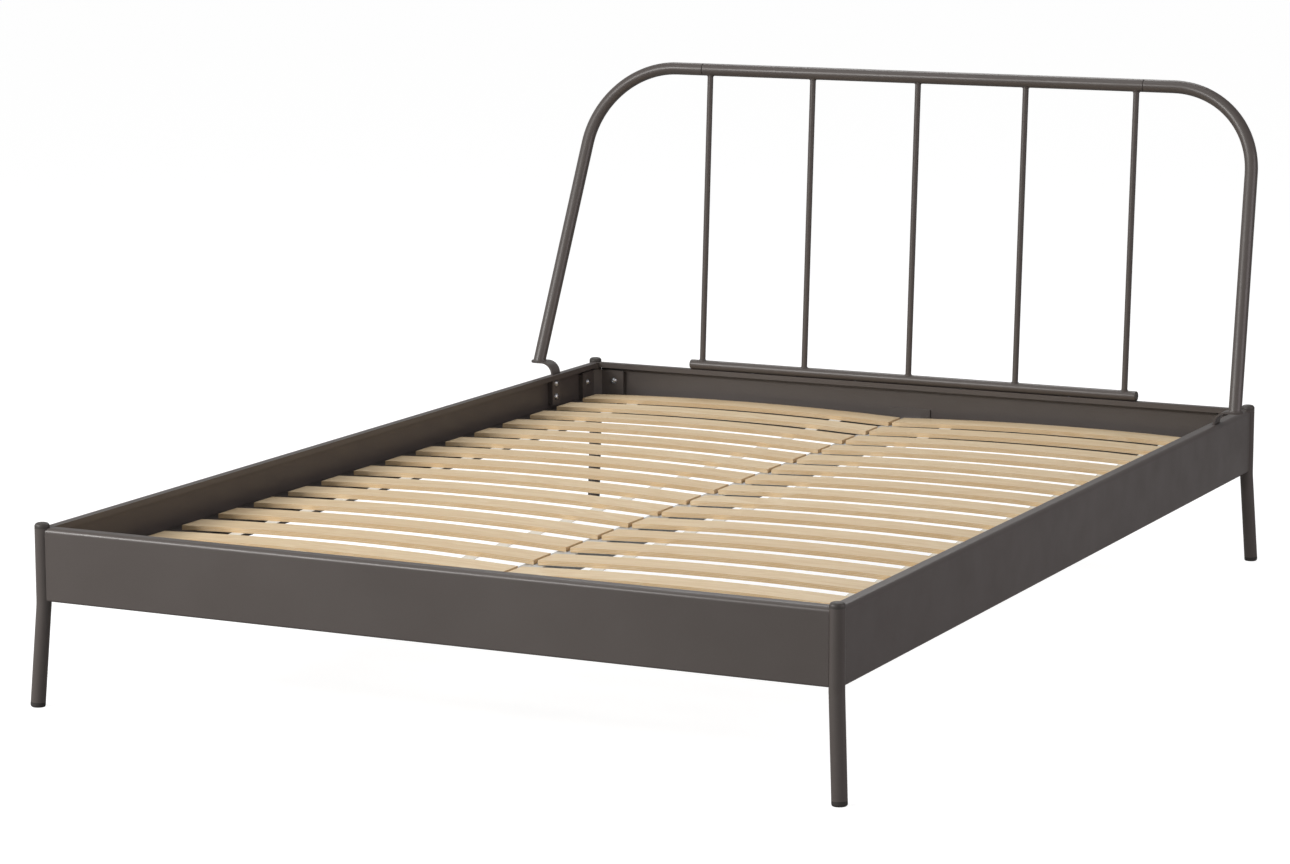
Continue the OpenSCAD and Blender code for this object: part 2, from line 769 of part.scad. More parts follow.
module mid_beam_splice() {
    gap = beam_t + splice_clearance;
    color("#8d8f90") difference() {
        translate([gap - beam_w / 2, -splice_l / 2, beam_z + beam_t])
            cube([beam_w - 2 * gap, splice_l, beam_h - beam_t - gap]);
        translate([gap + splice_wall - beam_w / 2, -splice_l / 2 - past, beam_z + beam_t + splice_wall])
            cube([beam_w - 2 * (gap + splice_wall), splice_l + 2 * past, beam_h]);
        for (e = ENDS) to_end(e[1]) for (y = splice_screw_y) translate([0, y, beam_z])
            cylinder(r = beam_screw_r + thread_clearance, h = beam_t + splice_wall + past);
    }
}

// Cradle welded inside an end panel. The mid-beam drops into it from above.
module mid_beam_hanger(sy) {
    cheek_x = beam_w / 2 + beam_clearance;
    color("#55514e") to_end(sy) translate([0, rail_y - sheet_t, beam_z - hanger_t]) difference() {
        union() {
            translate([-hanger_w / 2, -hanger_t, 0]) cube([hanger_w, hanger_t, hanger_back_h]);
            translate([-cheek_x - hanger_t, -hanger_shelf_l, 0])
                cube([2 * (cheek_x + hanger_t), hanger_shelf_l, hanger_t]);
            for (s = SIDES) to_side(s[1]) translate([cheek_x, -hanger_shelf_l, 0])
                cube([hanger_t, hanger_shelf_l, hanger_t + hanger_cheek_h]);
        }
        translate([0, hanger_screw_y - rail_y + sheet_t, -past])
            cylinder(r = beam_screw_r + bolt_clearance, h = hanger_t + 2 * past);
    }
}

module mid_beam_screws() {
    color("#b4b6b8") for (e = ENDS) to_end(e[1]) {
        for (y = splice_screw_y) translate([0, y, beam_z])
            button_screw(beam_screw_r, beam_t + splice_wall + screw_reach);
        translate([0, hanger_screw_y, beam_z - hanger_t])
            button_screw(beam_screw_r, hanger_t + beam_t + screw_reach);
    }
}

// ---------- The parts ----------

for (c = CORNERS) {
    leg(c[1], c[2]);
    corner_bracket(c[1], c[2]);
}
leg_caps();
leg_glides();
corner_nut_plates();
corner_bolts();
foot_panel();
head_panel();
for (s = SIDES) {
    to_side(s[1]) side_rail();
    slat_ledge(s[1]);
    headboard_arch(s[1]);
    headboard_hook(s[1]);
}
for (e = ENDS) {
    mid_beam_half(e[1]);
    mid_beam_hanger(e[1]);
}
mid_beam_splice();
mid_beam_screws();
headboard_top_bar();
headboard_sleeves();
headboard_joint_screws();
for (i = [1 : spindle_count]) {
    headboard_spindle(i);
}
headboard_lower_bar();
lower_bar_plugs();
lower_bar_screws();
hook_nut_plates();
hook_bolts();
slat_ribbons();
for (i = [1 : slat_count]) {
    slat_row(i);
}
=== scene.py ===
"""Looks of the metal bed frame: finishes, welds, slat ribbons, light and camera around the CAD frame."""
import json
import math

import bmesh
import bpy
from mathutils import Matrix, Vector


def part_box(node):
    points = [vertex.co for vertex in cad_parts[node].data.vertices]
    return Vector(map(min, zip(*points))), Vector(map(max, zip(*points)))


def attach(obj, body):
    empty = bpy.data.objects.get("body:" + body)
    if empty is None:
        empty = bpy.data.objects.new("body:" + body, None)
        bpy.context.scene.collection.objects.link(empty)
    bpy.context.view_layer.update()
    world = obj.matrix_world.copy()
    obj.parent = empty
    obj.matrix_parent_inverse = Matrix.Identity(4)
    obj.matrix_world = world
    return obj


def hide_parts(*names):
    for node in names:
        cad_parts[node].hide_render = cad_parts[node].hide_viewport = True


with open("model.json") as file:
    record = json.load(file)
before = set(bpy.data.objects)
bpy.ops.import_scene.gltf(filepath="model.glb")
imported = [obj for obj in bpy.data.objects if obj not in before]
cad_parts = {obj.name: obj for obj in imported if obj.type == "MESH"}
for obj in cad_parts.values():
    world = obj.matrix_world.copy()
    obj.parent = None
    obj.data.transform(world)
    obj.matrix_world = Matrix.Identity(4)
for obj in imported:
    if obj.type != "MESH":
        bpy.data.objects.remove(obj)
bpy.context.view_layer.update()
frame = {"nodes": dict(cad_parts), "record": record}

MM = 0.001
NODES = frame["nodes"]

# ---------- Node trees ----------

class Tree:
    """Short names for the shader nodes that the materials use."""

    def __init__(self, tree):
        self.tree = tree

    def add(self, kind, **settings):
        node = self.tree.nodes.new(kind)
        for key, value in settings.items():
            setattr(node, key, value)
        return node

    def link(self, source, socket):
        self.tree.links.new(source, socket)

    def feed(self, socket, value):
        if isinstance(value, bpy.types.NodeSocket):
            self.link(value, socket)
        elif value is not None:
            socket.default_value = value

    def math(self, operation, a, b=None, c=None):
        node = self.add("ShaderNodeMath", operation=operation)
        for socket, value in zip(node.inputs, (a, b, c)):
            self.feed(socket, value)
        return node.outputs[0]

    def vector_math(self, operation, a, b=None):
        node = self.add("ShaderNodeVectorMath", operation=operation)
        self.feed(node.inputs[0], a)
        self.feed(node.inputs[1], b)
        return node.outputs["Value" if operation == "DOT_PRODUCT" else "Vector"]

    def map_range(self, value, low, high, to_low, to_high):
        node = self.add("ShaderNodeMapRange")
        for name, v in (("Value", value), ("From Min", low), ("From Max", high),
                        ("To Min", to_low), ("To Max", to_high)):
            self.feed(node.inputs[name], v)
        return node.outputs["Result"]

    def mix_value(self, factor, a, b):
        node = self.add("ShaderNodeMix", data_type="FLOAT")
        for socket, value in zip(node.inputs[:4], (factor, None, a, b)):
            self.feed(socket, value)
        return node.outputs[0]

    def mix_color(self, factor, a, b, blend="MIX"):
        node = self.add("ShaderNodeMix", data_type="RGBA", blend_type=blend)
        self.feed(node.inputs[0], factor)
        self.feed(node.inputs[6], a)
        self.feed(node.inputs[7], b)
        return node.outputs[2]

    def place(self):
        return self.add("ShaderNodeTexCoord").outputs["Object"]

    def stretched(self, vector, scale, offset=None):
        node = self.add("ShaderNodeMapping")
        self.feed(node.inputs["Vector"], vector)
        self.feed(node.inputs["Location"], offset)
        node.inputs["Scale"].default_value = scale
        return node.outputs["Vector"]

    def noise(self, vector, scale, detail=2.0, roughness=0.5, distortion=0.0):
        node = self.add("ShaderNodeTexNoise")
        self.feed(node.inputs["Vector"], vector)
        for name, v in (("Scale", scale), ("Detail", detail), ("Roughness", roughness),
                        ("Distortion", distortion)):
            node.inputs[name].default_value = v
        return node.outputs["Fac"]

    def noise_color(self, vector, scale):
        node = self.add("ShaderNodeTexNoise")
        self.feed(node.inputs["Vector"], vector)
        node.inputs["Scale"].default_value = scale
        return node.outputs["Color"]

    def bump(self, height, distance, strength=1.0, below=None):
        node = self.add("ShaderNodeBump")
        node.inputs["Strength"].default_value = strength
        node.inputs["Distance"].default_value = distance
        self.link(height, node.inputs["Height"])
        if below is not None:
            self.link(below, node.inputs["Normal"])
        return node.outputs["Normal"]


def new_material(name):
    material = bpy.data.materials.new(name)
    material.use_nodes = True
    return material, Tree(material.node_tree), material.node_tree.nodes["Principled BSDF"]


def rgb(r, g, b):
    """A colour given in sRGB, 0 to 255, as the linear RGBA that the shaders take."""
    def linear(v):
        v /= 255
        return v / 12.92 if v <= 0.04045 else ((v + 0.055) / 1.055) ** 2.4
    return (linear(r), linear(g), linear(b), 1.0)


# ---------- Camera, light and floor ----------

CAMERA_AT = Vector((2.984, -6.313, 1.551))
CAMERA_TURN = math.radians(25.83)
CAMERA_TILT = math.radians(9.67)
CAMERA_LENS = 109.2
CAMERA_SHIFT = -0.0117

# The world is white to the camera. As a light, it is strongest towards WORLD_SIDE and weak overhead.
WORLD_SIDE = (-0.60, -0.75, 0.27)
WORLD_WEAK, WORLD_STRONG = 0.27, 0.92
WORLD_OVERHEAD = 0.45

FLOOR_REACH = 120
FLOOR_TONE = 0.30
FLOOR_GLOW, FLOOR_GLOW_SEEN = 0.05, 0.88

# Name, place, target, size, power and colour of each soft box
LIGHTS = [
    ("key", (-2.9, -3.9, 2.4), (-0.3, -0.9, 0.3), (3.2, 0.5), 200, (1.0, 0.98, 0.96)),
    ("top", (-0.8, -0.4, 4.4), (0, 0.1, 0.3), (2.4, 3.0), 30, (1.0, 1.0, 1.0)),
    ("rear", (-0.9, 2.9, 3.3), (0, 0.5, 0.35), (2.2, 1.8), 45, (1.0, 1.0, 1.0)),
    ("fill", (5.2, 0.2, 2.2), (0.6, -0.3, 0.4), (3.0, 3.0), 80, (1.0, 0.90, 0.93)),
]


def add_camera():
    data = bpy.data.cameras.new("camera")
    data.lens = CAMERA_LENS
    data.sensor_width = 36
    data.shift_x = CAMERA_SHIFT
    data.clip_end = 300
    camera = bpy.data.objects.new("camera", data)
    bpy.context.scene.collection.objects.link(camera)
    camera.location = CAMERA_AT
    camera.rotation_euler = (math.pi / 2 - CAMERA_TILT, 0, CAMERA_TURN)
    bpy.context.scene.camera = camera


def add_area_light(name, at, target, size, power, color):
    data = bpy.data.lights.new(name, "AREA")
    data.shape = "RECTANGLE"
    data.size, data.size_y = size
    data.energy = power
    data.color = color
    light = bpy.data.objects.new(name, data)
    bpy.context.scene.collection.objects.link(light)
    light.location = at
    light.rotation_mode = "QUATERNION"
    light.rotation_quaternion = (Vector(target) - Vector(at)).to_track_quat("-Z", "Y")


def add_world():
    """White behind the bed, with most of its light from the front and the left."""
    world = bpy.data.worlds.new("studio")
    bpy.context.scene.world = world
    world.use_nodes = True
    tree = Tree(world.node_tree)
    background = world.node_tree.nodes["Background"]
    direction = tree.add("ShaderNodeTexCoord").outputs["Generated"]
    side = tree.vector_math("DOT_PRODUCT", direction, WORLD_SIDE)
    strength = tree.map_range(side, -0.4, 1.0, WORLD_WEAK, WORLD_STRONG)
    up = tree.vector_math("DOT_PRODUCT", direction, (0.0, 0.0, 1.0))
    strength = tree.math("MULTIPLY", strength, tree.map_range(up, 0.3, 0.9, 1.0, WORLD_OVERHEAD))
    path = tree.add("ShaderNodeLightPath")
    seen = tree.mix_value(path.outputs["Is Camera Ray"], strength, 1.0)
    background.inputs["Color"].default_value = (1, 1, 1, 1)
    tree.link(seen, background.inputs["Strength"])


def add_floor():
    """Pale floor that glows a little, so that it meets the white behind it without an edge."""
    mesh = bpy.data.meshes.new("floor")
    corners = [(x * FLOOR_REACH, y * FLOOR_REACH, 0) for x, y in ((-1, -1), (1, -1), (1, 1), (-1, 1))]
    mesh.from_pydata(corners, [], [(0, 1, 2, 3)])
    floor = bpy.data.objects.new("floor", mesh)
    bpy.context.scene.collection.objects.link(floor)
    material, tree, shader = new_material("floor_white")
    shader.inputs["Base Color"].default_value = (FLOOR_TONE, FLOOR_TONE, FLOOR_TONE, 1)
    shader.inputs["Roughness"].default_value = 0.9
    shader.inputs["Specular IOR Level"].default_value = 0.0
    shader.inputs["Emission Color"].default_value = (1, 1, 1, 1)
    path = tree.add("ShaderNodeLightPath")
    glow = tree.mix_value(path.outputs["Is Camera Ray"], FLOOR_GLOW, FLOOR_GLOW_SEEN)
    tree.link(glow, shader.inputs["Emission Strength"])
    mesh.materials.append(material)


# ---------- Materials ----------

def powder_coat(name, light, dark, roughness):
    """Satin powder coat: uneven tone, a fine speckle and the orange-peel skin of baked powder."""
    material, tree, shader = new_material(name)
    place = tree.place()
    clouds = tree.noise(place, 2.6, 3.0)
    speckle = tree.noise(place, 900.0, 1.0)
    tone = tree.mix_color(tree.map_range(clouds, 0.3, 0.7, 0.0, 1.0), dark, light)
    pale_speck, dark_speck = rgb(128, 122, 117), rgb(52, 48, 46)
    tone = tree.mix_color(tree.map_range(speckle, 0.62, 0.75, 0.0, 0.07), tone, pale_speck)
    tone = tree.mix_color(tree.map_range(speckle, 0.40, 0.28, 0.0, 0.10), tone, dark_speck)
    tree.link(tone, shader.inputs["Base Color"])
    patches = tree.noise(place, 14.0, 3.0)
    tree.link(tree.map_range(patches, 0.3, 0.7, roughness - 0.04, roughness + 0.05),
              shader.inputs["Roughness"])
    peel = tree.noise(place, 420.0, 2.0, 0.6)
    grain = tree.noise(place, 1800.0, 1.0)
    waves = tree.noise(place, 5.0, 1.0)
    normal = tree.bump(waves, 0.0008, 0.2)
    normal = tree.bump(peel, 0.00009, 0.5, normal)
    normal = tree.bump(grain, 0.00002, 0.35, normal)
    tree.link(normal, shader.inputs["Normal"])
    shader.inputs["Specular IOR Level"].default_value = 0.45
    return material


def moulded_plastic(name, color, roughness):
    """Matt moulded plastic with a fine spark-eroded grain."""
    material, tree, shader = new_material(name)
    place = tree.place()
    blotches = tree.noise(place, 60.0, 3.0)
    lighter = tuple(min(1.0, c * 1.5 + 0.004) for c in color[:3]) + (1.0,)
    tree.link(tree.mix_color(tree.map_range(blotches, 0.35, 0.7, 0.0, 0.6), color, lighter),
              shader.inputs["Base Color"])
    grain = tree.noise(place, 1600.0, 2.0)
    tree.link(tree.map_range(grain, 0.3, 0.7, roughness - 0.06, roughness + 0.08),
              shader.inputs["Roughness"])
    tree.link(tree.bump(grain, 0.00006, 0.6), shader.inputs["Normal"])
    shader.inputs["Specular IOR Level"].default_value = 0.4
    return material


def plated_steel(name, color, roughness, streaks=220.0):
    """Plated steel with the faint turning and handling marks of small hardware."""
    material, tree, shader = new_material(name)
    place = tree.place()
    shader.inputs["Metallic"].default_value = 1.0
    clouds = tree.noise(place, 90.0, 3.0)
    duller = tuple(c * 0.72 for c in color[:3]) + (1.0,)
    tree.link(tree.mix_color(tree.map_range(clouds, 0.35, 0.7, 0.0, 0.8), color, duller),
              shader.inputs["Base Color"])
    marks = tree.noise(tree.stretched(place, (1.0, 1.0, 6.0)), streaks, 3.0, 0.6)
    tree.link(tree.map_range(marks, 0.3, 0.7, roughness - 0.08, roughness + 0.12),
              shader.inputs["Roughness"])
    tree.link(tree.bump(marks, 0.00004, 0.4), shader.inputs["Normal"])
    return material


def galvanised_sheet(name):
    """Hot-dip galvanised sheet: crystals a centimetre or two across, each with its own tone."""
    material, tree, shader = new_material(name)
    place = tree.place()
    shader.inputs["Metallic"].default_value = 1.0
    warped = tree.vector_math("ADD", place, tree.vector_math(
        "MULTIPLY", tree.noise_color(place, 40.0), (0.010, 0.010, 0.010)))
    crystals = tree.add("ShaderNodeTexVoronoi", feature="F1")
    tree.link(warped, crystals.inputs["Vector"])
    crystals.inputs["Scale"].default_value = 130.0
    value = tree.add("ShaderNodeSeparateColor")
    tree.link(crystals.outputs["Color"], value.inputs["Color"])
    tone = value.outputs["Red"]
    tree.link(tree.mix_color(tone, rgb(176, 179, 181), rgb(194, 197, 199)), shader.inputs["Base Color"])
    tree.link(tree.map_range(tone, 0.0, 1.0, 0.43, 0.56), shader.inputs["Roughness"])
    tree.link(tree.bump(tone, 0.00003, 0.3), shader.inputs["Normal"])
    return material


VENEER_T = 1.42 * MM


def birch_veneer(name, slats):
    """Layer-glued birch. The grain runs along each slat, and its edges show the thin glued layers."""
    pitch = slats.rows[1] - slats.rows[0]
    half_length = (slats.outer - slats.inner) / 2
    material, tree, shader = new_material(name)
    place = tree.place()
    parts = tree.add("ShaderNodeSeparateXYZ")
    tree.link(place, parts.inputs["Vector"])
    x, y, z = parts.outputs
    from_start = tree.math("SUBTRACT", y, slats.rows[0] - pitch / 2)
    row = tree.math("FLOOR", tree.math("DIVIDE", from_start, pitch))
    side = tree.math("SIGN", x)
    seed = tree.math("ADD", tree.math("MULTIPLY", row, 3.7), tree.math("MULTIPLY", side, 41.3))
    own = tree.add("ShaderNodeTexWhiteNoise", noise_dimensions="1D")
    tree.link(seed, own.inputs["W"])
    luck = own.outputs["Value"]
    shift = tree.add("ShaderNodeCombineXYZ")
    tree.link(tree.math("MULTIPLY", seed, 1.9), shift.inputs["X"])
    tree.link(tree.math("MULTIPLY", seed, 0.7), shift.inputs["Y"])
    own_place = tree.vector_math("ADD", place, shift.outputs["Vector"])
    flames = tree.noise(tree.stretched(own_place, (1.0, 9.0, 9.0)), 2.2, 3.0, 0.5, 0.6)
    rings = tree.math("FRACT", tree.math("MULTIPLY", flames, 9.0))
    falling = tree.math("MULTIPLY", tree.math("SUBTRACT", 1.0, rings), 3.0)
    rings = tree.math("SMOOTH_MIN", rings, falling, 0.2)
    fibres = tree.noise(tree.stretched(own_place, (1.0, 55.0, 55.0)), 14.0, 4.0, 0.65)
    flecks = tree.noise(tree.stretched(own_place, (1.0, 14.0, 14.0)), 60.0, 2.0, 0.5)
    pale, warm, brown = rgb(222, 204, 172), rgb(206, 180, 140), rgb(168, 130, 92)
    tone = tree.mix_color(tree.map_range(rings, 0.0, 0.8, 0.75, 0.0), pale, warm)
    tone = tree.mix_color(tree.map_range(fibres, 0.42, 0.72, 0.0, 0.55), tone, warm)
    tone = tree.mix_color(tree.map_range(flecks, 0.66, 0.78, 0.0, 0.65), tone, brown)
    tone = tree.mix_color(tree.map_range(luck, 0.0, 1.0, 0.0, 0.30), tone, rgb(196, 166, 124))
    from_mid = tree.math("SUBTRACT", tree.math("ABSOLUTE", x), slats.middle)
    from_mid = tree.math("DIVIDE", from_mid, half_length)
    fall = tree.math("MULTIPLY", from_mid, from_mid)
    face = tree.math("MULTIPLY", tree.math("SUBTRACT", 1.0, fall), slats.crown)
    depth = tree.math("SUBTRACT", tree.math("SUBTRACT", z, slats.base), face)
    layer = tree.math("DIVIDE", tree.math("ADD", depth, 0.3 * MM), VENEER_T)
    glue = tree.math("ABSOLUTE", tree.math("SUBTRACT", tree.math("FRACT", layer), 0.5))
    glue_line = tree.map_range(glue, 0.44, 0.5, 0.0, 0.8)
    odd = tree.math("MODULO", tree.math("FLOOR", layer), 2.0)
    normal_parts = tree.add("ShaderNodeSeparateXYZ")
    tree.link(tree.add("ShaderNodeNewGeometry").outputs["True Normal"], normal_parts.inputs["Vector"])
    on_edge = tree.map_range(tree.math("ABSOLUTE", normal_parts.outputs["Z"]), 0.5, 0.8, 1.0, 0.0)
    cross_layer = tree.math("MULTIPLY", on_edge, tree.math("MULTIPLY", odd, 0.45))
    edge_line = tree.math("MULTIPLY", on_edge, glue_line)
    tone = tree.mix_color(cross_layer, tone, rgb(198, 156, 104))
    tone = tree.mix_color(edge_line, tone, rgb(128, 84, 46))
    tree.link(tone, shader.inputs["Base Color"])
    tree.link(tree.map_range(fibres, 0.3, 0.7, 0.42, 0.60), shader.inputs["Roughness"])
    normal = tree.bump(fibres, 0.00010, 0.5)
    normal = tree.bump(edge_line, 0.00008, 0.6, normal)
    tree.link(normal, shader.inputs["Normal"])
    shader.inputs["Specular IOR Level"].default_value = 0.35
    return material


WARP_PITCH, WEFT_PITCH = 1.9 * MM, 1.3 * MM


def woven_ribbon(name):
    """Plain weave: warp threads run along the bed, weft threads across the ribbon."""
    material, tree, shader = new_material(name)
    place = tree.place()
    parts = tree.add("ShaderNodeSeparateXYZ")
    tree.link(place, parts.inputs["Vector"])
    warp = tree.math("SINE", tree.math("MULTIPLY", parts.outputs["X"], 2 * math.pi / WARP_PITCH))
    weft = tree.math("SINE", tree.math("MULTIPLY", parts.outputs["Y"], 2 * math.pi / WEFT_PITCH))
    weave = tree.math("MULTIPLY", warp, weft)
    fuzz = tree.noise(place, 700.0, 2.0)
    shade = tree.math("ADD", tree.math("MULTIPLY", weave, 0.35), fuzz)
    tree.link(tree.mix_color(tree.map_range(shade, 0.1, 1.0, 0.0, 1.0), rgb(196, 190, 176),
                             rgb(232, 228, 217)), shader.inputs["Base Color"])
    shader.inputs["Roughness"].default_value = 0.85
    shader.inputs["Sheen Weight"].default_value = 0.25
    tree.link(tree.bump(shade, 0.00025, 0.7), shader.inputs["Normal"])
    return material


# ---------- Measures of the CAD nodes ----------

def middle_and_reach(node):
    low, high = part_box(node)
    return (low + high) / 2, (high - low) / 2


class SlatUnderside:
    """Lower face of the right-hand slats, a shallow arc, and where the rows lie."""

    def __init__(self):
        points = [v.co for v in NODES["slat_row_01"].data.vertices]
        self.inner = min(abs(p.x) for p in points)
        self.outer = max(p.x for p in points)
        self.base = min(p.z for p in points)
        ends = [p.z for p in points if abs(p.x - self.outer) < 0.01 * MM]
        self.thick = max(ends) - self.base
        self.crown = max(p.z for p in points) - self.base - self.thick
        self.middle = (self.inner + self.outer) / 2
        half = (self.outer - self.inner) / 2
        self.radius = (half ** 2 + self.crown ** 2) / (2 * self.crown)
        self.rows = [middle_and_reach(node)[0].y for node in nodes_named("slat_row_")]
        self.half_w = middle_and_reach("slat_row_01")[1].y

    def height(self, x):
        drop = self.radius - math.sqrt(self.radius ** 2 - (abs(x) - self.middle) ** 2)
        return self.base + self.crown - drop


def nodes_named(start):
    return sorted(node for node in NODES if node.startswith(start))


# ---------- Finishing the CAD nodes ----------

SLAT_EDGE_R = 1.6 * MM
SHEET_EDGE_R = 0.4 * MM


def coat(node, material):
    mesh = NODES[node].data
    mesh.materials.clear()
    mesh.materials.append(material)


def soften(node, width, segments=2, angle=35):
    """Rounds the sharp edges of a CAD node with a modifier."""
    bevel = NODES[node].modifiers.new("soft_edges", "BEVEL")
    bevel.width = width
    bevel.segments = segments
    bevel.limit_method = "ANGLE"
    bevel.angle_limit = math.radians(angle)
    bevel.harden_normals = False
    bevel.use_clamp_overlap = True


def finish_nodes():
    """Gives each CAD node the material of its slot, and returns the materials by slot."""
    slots = {part["node"]: part["material_slot"] for part in frame["record"]["subparts"]}
    materials = {
        "frame_paint": powder_coat("powder_coat", rgb(80, 74, 71), rgb(75, 69, 66), 0.36),
        "cap_plastic": moulded_plastic("cap_plastic", rgb(58, 54, 51), 0.46),
        "glide_plastic": moulded_plastic("glide_plastic", rgb(46, 43, 41), 0.52),
        "zinc": plated_steel("zinc_plate", rgb(196, 198, 201), 0.28),
        "black_steel": plated_steel("black_oxide", rgb(74, 71, 69), 0.40),
        "galvanised": galvanised_sheet("galvanised_sheet"),
        "birch": birch_veneer("birch_veneer", SlatUnderside()),
        "ribbon": woven_ribbon("woven_ribbon"),
    }
    for node in NODES:
        coat(node, materials[slots[node]])
        if node.startswith("slat_row"):
            soften(node, SLAT_EDGE_R, 3)
        elif "panel" in node or "side_rail" in node or "ledge" in node:
            soften(node, SHEET_EDGE_R)
    return materials


# ---------- Pieces made here ----------

WELD_R = 1.5 * MM
WELD_STEPS = 72
WELD_RIPPLE = 4.5
TUBE_SIDES = 10


def unit(vector):
    return Vector(vector).normalized()


def sweep(path, radius_at, up, closed, sides=TUBE_SIDES):
    """Skin of round sections along a path that never runs along up."""
    count = len(path)
    points, faces = [], []
    for i, point in enumerate(path):
        before = path[(i - 1) % count] if closed or i > 0 else point
        after = path[(i + 1) % count] if closed or i < count - 1 else point
        along = (after - before).normalized()
        side = along.cross(up).normalized()
        rise = side.cross(along)
        for k in range(sides):
            angle = 2 * math.pi * k / sides
            points.append(point + radius_at(i) * (math.cos(angle) * side + math.sin(angle) * rise))
    for i in range(count if closed else count - 1):
        for k in range(sides):
            here, there = i * sides, (i + 1) % count * sides
            beside = (k + 1) % sides
            faces.append((here + k, here + beside, there + beside, there + k))
    if not closed:
        faces.append(tuple(reversed(range(sides))))
        faces.append(tuple(range((count - 1) * sides, count * sides)))
    return points, faces


def joined(skins):
    """One list of points and one of faces from many."""
    points, faces = [], []
    for more_points, more_faces in skins:
        start = len(points)
        points += more_points
        faces += [tuple(start + k for k in face) for face in more_faces]
    return points, faces


def add_piece(name, skin, slot):
    mesh = bpy.data.meshes.new(name)
    mesh.from_pydata([tuple(p) for p in skin[0]], [], skin[1])
    shape = bmesh.new()
    shape.from_mesh(mesh)
    bmesh.ops.recalc_face_normals(shape, faces=shape.faces)
    shape.to_mesh(mesh)
    shape.free()
    for polygon in mesh.polygons:
        polygon.use_smooth = True
    mesh.materials.append(MATERIALS[slot])
    piece = bpy.data.objects.new(name, mesh)
    bpy.context.scene.collection.objects.link(piece)
    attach(piece, "root")
    return piece


def bead_radius(radius, ripple, seed):
    """Radius of a weld bead, with the ripples that its drops leave."""
    def at(i):
        drift = 0.06 * math.sin(1.7 * i / ripple + seed) + 0.04 * math.sin(0.61 * i + 2.3 * seed)
        return radius * (1 + 0.09 * math.sin(2 * math.pi * i / ripple + seed) + drift)
    return at


def spindle_welds():
    """A bead round both ends of each spindle, along the curve where two round bars meet."""
    top, top_reach = middle_and_reach("headboard_top_bar")
    lower, lower_reach = middle_and_reach("headboard_lower_bar")
    skins = []
    for number, node in enumerate(nodes_named("headboard_spindle_"), 1):
        spindle, reach = middle_and_reach(node)
        rise = unit((0, top.y - lower.y, top.z - lower.z))
        across = rise.cross(Vector((1, 0, 0)))
        for bar, bar_r, to_spindle in ((top, top_reach.z, -rise), (lower, lower_reach.z, rise)):
            path = []
            for i in range(WELD_STEPS):
                angle = 2 * math.pi * i / WELD_STEPS
                out = reach.x * math.cos(angle), reach.x * math.sin(angle)
                lift = math.sqrt(bar_r ** 2 - out[1] ** 2)
                start = Vector((spindle.x, bar.y, bar.z))
                path.append(start + lift * to_spindle + Vector((out[0], 0, 0)) + out[1] * across)
            skins.append(sweep(path, bead_radius(WELD_R, WELD_RIPPLE, number + bar_r * 90), rise, True))
    add_piece("spindle_welds", joined(skins), "frame_paint")


def end_ring(node, end):
    """Middle, long and short half axes of the outer edge at a tube's highest or lowest end."""
    points = [v.co for v in NODES[node].data.vertices]
    level = end(p.z for p in points)
    edge = [p for p in points if abs(p.z - level) < 0.01 * MM]
    middle = (Vector(map(max, *edge)) + Vector(map(min, *edge))) / 2
    far = max(edge, key=lambda p: (p - middle).length)
    long_axis = far - middle
    short_axis = long_axis.cross(Vector((0, 0, 1))).normalized()
    outer = [p for p in edge if (p - middle).length > 0.91 * long_axis.length]
    return middle, long_axis, short_axis * max(abs((p - middle).dot(short_axis)) for p in outer)


def hook_welds():
    """A bead round the foot of each upright, on its hook bracket."""
    skins = []
    for seed, side in enumerate(("left", "right")):
        middle, long_axis, short_axis = end_ring(f"headboard_arch_{side}", min)
        path = []
        for i in range(WELD_STEPS):
            angle = 2 * math.pi * i / WELD_STEPS
            path.append(middle + math.cos(angle) * long_axis + math.sin(angle) * short_axis)
        skins.append(sweep(path, bead_radius(1.15 * WELD_R, WELD_RIPPLE, seed), Vector((0, 0, 1)), True))
    add_piece("hook_welds", joined(skins), "frame_paint")


CORNER_WELD_SHARES = (0.12, 0.5, 0.88)


def corner_welds():
    """Three short beads on each side of the line where a corner bracket touches its leg."""
    beside, length, steps = 5.5 * MM, 24 * MM, 28
    ends = [abs(2 * i / (steps - 1) - 1) for i in range(steps)]
    taper = [math.sqrt(max(0.04, 1 - end ** 6)) for end in ends]
    skins = []
    for end in ("foot", "head"):
        for side in ("left", "right"):
            axis, reach, _ = end_ring(f"leg_{end}_{side}", max)
            low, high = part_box(f"corner_bracket_{end}_{side}")
            inward = unit((-axis.x / abs(axis.x), -axis.y / abs(axis.y), 0))
            along_web = inward.cross(Vector((0, 0, 1)))
            for turn in (-1, 1):
                base = axis + inward * (reach.length - 0.6 * MM) + turn * beside * along_web
                for share in CORNER_WELD_SHARES:
                    z = low.z + share * (high.z - low.z)
                    path = [Vector((base.x, base.y, z + (i / (steps - 1) - 0.5) * length))
                            for i in range(steps)]
                    radius = bead_radius(1.1 * WELD_R, 4.0, z * 70 + turn)
                    skins.append(sweep(path, lambda i: radius(i) * taper[i], inward, False))
    add_piece("corner_welds", joined(skins), "frame_paint")


